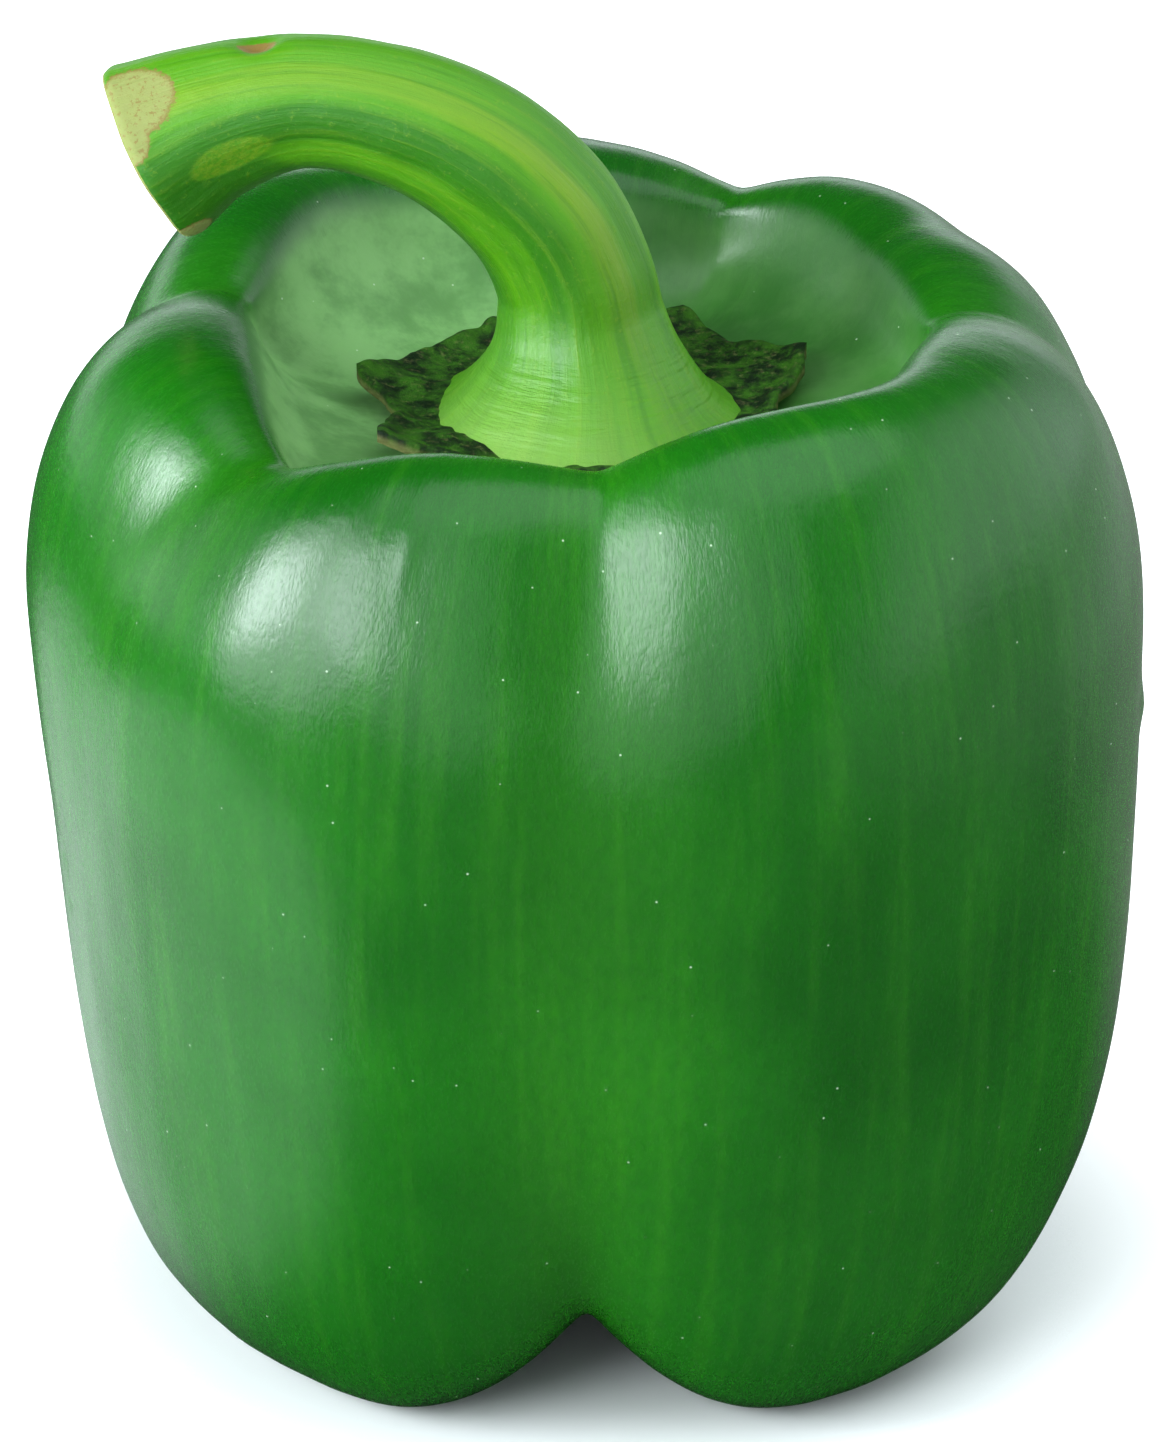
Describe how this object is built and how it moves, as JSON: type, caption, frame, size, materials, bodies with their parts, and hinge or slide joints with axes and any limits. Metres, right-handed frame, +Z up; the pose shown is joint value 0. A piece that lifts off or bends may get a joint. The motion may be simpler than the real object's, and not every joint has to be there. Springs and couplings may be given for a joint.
{
  "type": "bell pepper",
  "caption": "Blocky green bell pepper standing on its lobes, with a starry calyx in the hollow of its top and a thick bent stem with a cut end.",
  "frame": {"origin": "on the surface it stands on, under the middle of the bounding box", "axes": "+Z up through the stem's hollow; -Y is the side with the deep furrow between two lobes; the stem bends over towards -X"},
  "size_m": [0.0842, 0.0822, 0.102],
  "materials": {
    "fruit_skin": "waxy, glossy deep green skin",
    "calyx": "dull, wrinkled brownish green",
    "stem": "satin, finely ribbed yellow green, corky at the cut end"
  },
  "bodies": {
    "root": {"fruit": "fruit_skin", "calyx": "calyx", "stem": "stem"}
  },
  "joints": []
}
